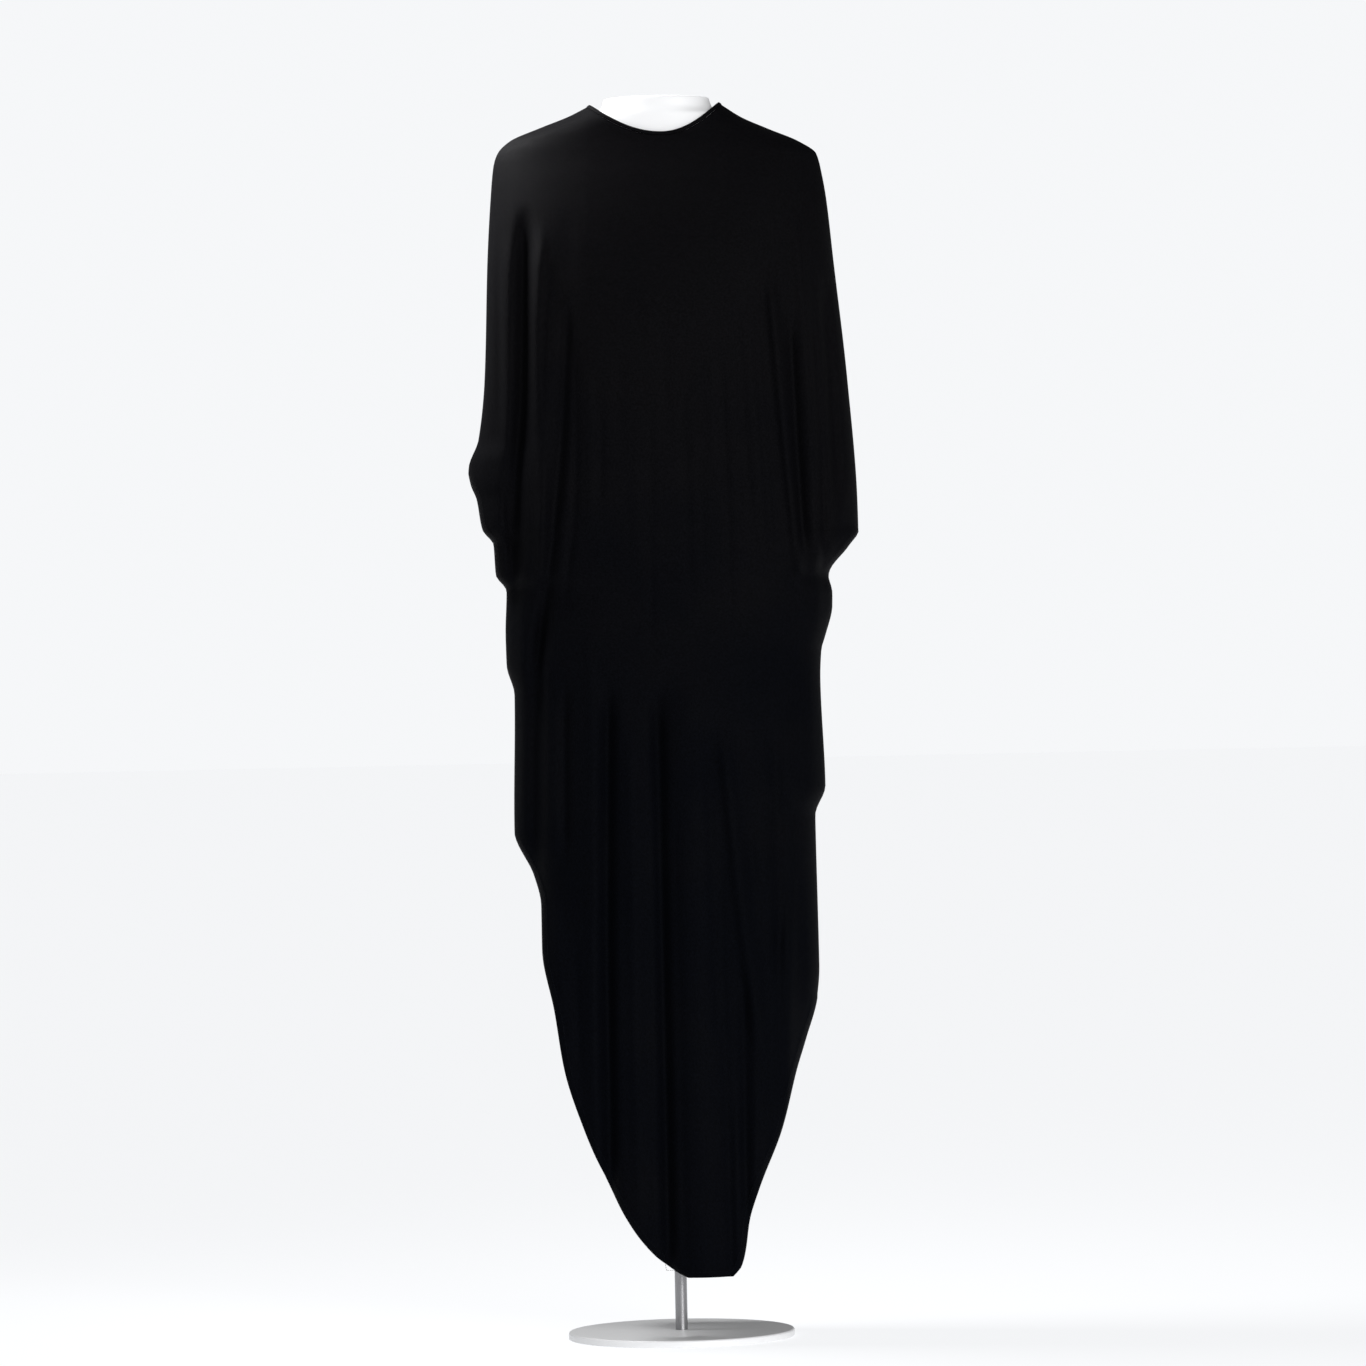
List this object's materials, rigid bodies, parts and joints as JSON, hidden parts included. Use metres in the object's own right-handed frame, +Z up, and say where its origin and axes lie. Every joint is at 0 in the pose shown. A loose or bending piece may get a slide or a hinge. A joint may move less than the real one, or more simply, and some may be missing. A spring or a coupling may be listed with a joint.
{
  "type": "kaftan dress on a dress form",
  "caption": "Long batwing kaftan dress in thin jersey with a curved hem, hanging in folds on a limbless dress form with a pole and a round base.",
  "frame": {"origin": "middle of the base's underside, on the floor and on the pole's axis", "axes": "+Z up along the pole, the front of the kaftan faces -Y, and +X is the viewer's right from the front"},
  "size_m": [0.4825, 0.28, 1.535],
  "materials": {
    "jersey": "fine black knit jersey, matt with a soft sheen at the edges",
    "form": "smooth pale plastic",
    "pole": "brushed grey steel",
    "base": "pale satin paint"
  },
  "bodies": {
    "root": {"front_panel": "jersey", "back_panel": "jersey", "neck_binding": "jersey", "dress_form": "form", "pole": "pole", "base": "base"}
  },
  "joints": []
}
